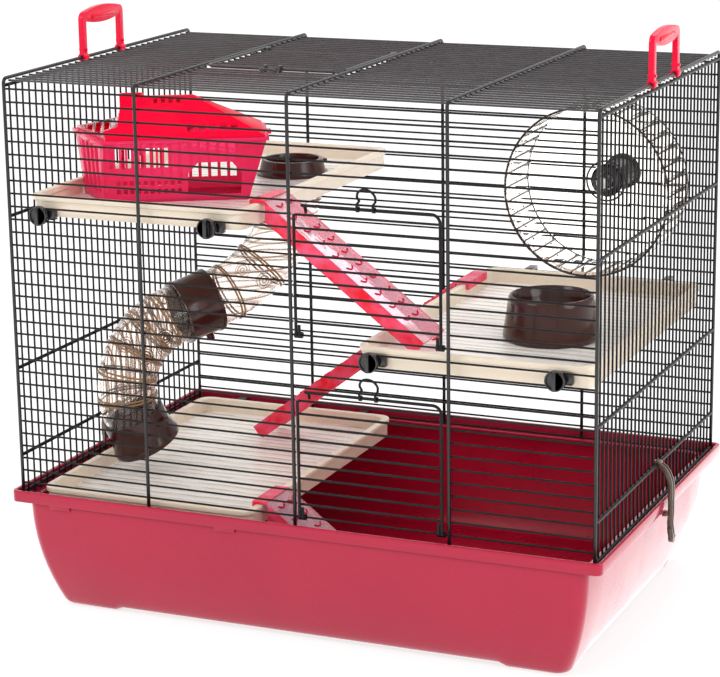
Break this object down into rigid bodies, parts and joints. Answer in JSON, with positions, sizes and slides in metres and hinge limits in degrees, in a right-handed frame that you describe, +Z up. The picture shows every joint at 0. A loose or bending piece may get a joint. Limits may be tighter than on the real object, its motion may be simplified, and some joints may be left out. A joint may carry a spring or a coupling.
{
  "type": "hamster cage",
  "caption": "Hamster cage: wire top with three hinged doors on a deep moulded tray, with shelves, ramps, a tunnel, a running wheel, a hut and a bowl.",
  "frame": {"origin": "middle of the base, on the floor", "axes": "X across the front, left to right; Y from front to back; Z up"},
  "size_m": [0.5948, 0.384, 0.5477],
  "materials": {
    "tray": "gloss",
    "wire": "semi-gloss",
    "shelf": "semi-gloss",
    "handle": "semi-gloss",
    "clip": "gloss",
    "black": "semi-gloss",
    "brown": "gloss",
    "tunnel": "clear gloss",
    "clear": "clear gloss",
    "house": "clear gloss",
    "ramp": "clear gloss",
    "axle": "brushed"
  },
  "bodies": {
    "cage": {"tray": "tray", "hoops": "wire", "front_wires": "wire", "back_wires": "wire", "roof_wires": "wire", "side_left_rods": "wire", "side_left_rails": "wire", "side_right_rods": "wire", "side_right_rails": "wire", "shelf_upper": "shelf", "shelf_middle": "shelf", "shelf_lower": "shelf", "shelf_hooks": "black", "knob_lugs": "black", "wheel_axle": "axle", "wheel_stand": "black", "wheel_bolt": "black", "tube_upper": "tunnel", "tube_lower": "tunnel", "tube_top_collar": "brown", "tube_middle_collar": "brown", "tube_foot_collar": "brown", "house_base": "house"},
    "door_upper": {"door_upper": "wire"},
    "door_lower": {"door_lower": "wire"},
    "door_top": {"door_top": "wire"},
    "latch_upper": {"latch_upper": "wire"},
    "latch_lower": {"latch_lower": "wire"},
    "latch_top": {"latch_top": "wire"},
    "handle_left": {"handle_left": "handle"},
    "handle_right": {"handle_right": "handle"},
    "clip_left": {"clip_left": "clip"},
    "clip_right": {"clip_right": "clip"},
    "knob_upper_left": {"knob_upper_left": "black"},
    "knob_upper_right": {"knob_upper_right": "black"},
    "knob_middle_left": {"knob_middle_left": "black"},
    "knob_middle_right": {"knob_middle_right": "black"},
    "wheel": {"wheel_drum": "clear", "wheel_hub": "black"},
    "house_roof": {"house_roof": "house"},
    "bowl": {"bowl": "brown"},
    "ramp_upper": {"ramp_upper": "ramp"},
    "ramp_middle": {"ramp_middle": "ramp"},
    "ramp_lower": {"ramp_lower": "ramp"}
  },
  "joints": [
    {"name": "door_upper_hinge", "type": "hinge", "parent": "cage", "child": "door_upper", "pos_m": [0.07275, -0.17945, 0.2889], "axis": [1, 0, 0], "range_deg": [0, 100]},
    {"name": "door_lower_hinge", "type": "hinge", "parent": "cage", "child": "door_lower", "pos_m": [0.07275, -0.17945, 0.1216], "axis": [1, 0, 0], "range_deg": [0, 90]},
    {"name": "door_top_hinge", "type": "hinge", "parent": "cage", "child": "door_top", "pos_m": [-0.07375, 0.078, 0.49915], "axis": [-1, 0, 0], "range_deg": [0, 110]},
    {"name": "latch_upper_hinge", "type": "hinge", "parent": "door_upper", "child": "latch_upper", "pos_m": [0.07275, -0.18205, 0.4052], "axis": [1, 0, 0], "range_deg": [0, 60]},
    {"name": "latch_lower_hinge", "type": "hinge", "parent": "door_lower", "child": "latch_lower", "pos_m": [0.07275, -0.18205, 0.2379], "axis": [1, 0, 0], "range_deg": [0, 60]},
    {"name": "latch_top_hinge", "type": "hinge", "parent": "door_top", "child": "latch_top", "pos_m": [-0.07375, -0.0508, 0.50175], "axis": [-1, 0, 0], "range_deg": [0, 60]},
    {"name": "handle_left_hinge", "type": "hinge", "parent": "cage", "child": "handle_left", "pos_m": [-0.28, 0, 0.5017], "axis": [0, -1, 0], "range_deg": [0, 90]},
    {"name": "handle_right_hinge", "type": "hinge", "parent": "cage", "child": "handle_right", "pos_m": [0.28, 0, 0.5017], "axis": [0, 1, 0], "range_deg": [0, 90]},
    {"name": "clip_left_hinge", "type": "hinge", "parent": "cage", "child": "clip_left", "pos_m": [-0.28005, 0, 0.1488], "axis": [0, 1, 0], "range_deg": [0, 70]},
    {"name": "clip_right_hinge", "type": "hinge", "parent": "cage", "child": "clip_right", "pos_m": [0.28005, 0, 0.1488], "axis": [0, -1, 0], "range_deg": [0, 70]},
    {"name": "knob_upper_left_turn", "type": "hinge", "parent": "cage", "child": "knob_upper_left", "pos_m": [-0.249, -0.1812, 0.37853], "axis": [0, 1, 0], "continuous": true},
    {"name": "knob_upper_right_turn", "type": "hinge", "parent": "cage", "child": "knob_upper_right", "pos_m": [-0.079, -0.1812, 0.37853], "axis": [0, 1, 0], "continuous": true},
    {"name": "knob_middle_left_turn", "type": "hinge", "parent": "cage", "child": "knob_middle_left", "pos_m": [0.074, -0.1812, 0.27098], "axis": [0, 1, 0], "continuous": true},
    {"name": "knob_middle_right_turn", "type": "hinge", "parent": "cage", "child": "knob_middle_right", "pos_m": [0.244, -0.1812, 0.27098], "axis": [0, 1, 0], "continuous": true},
    {"name": "wheel_turn", "type": "hinge", "parent": "cage", "child": "wheel", "pos_m": [0.189, 0.125, 0.38295], "axis": [0, 1, 0], "continuous": true},
    {"name": "house_roof_lift", "type": "slide", "parent": "cage", "child": "house_roof", "axis": [0, 0, 1], "range_m": [0, 0.012]},
    {"name": "bowl_lift", "type": "slide", "parent": "cage", "child": "bowl", "axis": [0, 0, 1], "range_m": [0, 0.06]},
    {"name": "ramp_upper_lift", "type": "slide", "parent": "cage", "child": "ramp_upper", "axis": [0, 0, 1], "range_m": [0, 0.02]},
    {"name": "ramp_middle_lift", "type": "slide", "parent": "cage", "child": "ramp_middle", "axis": [0, 0, 1], "range_m": [0, 0.02]},
    {"name": "ramp_lower_lift", "type": "slide", "parent": "cage", "child": "ramp_lower", "axis": [0, 0, 1], "range_m": [0, 0.02]}
  ]
}
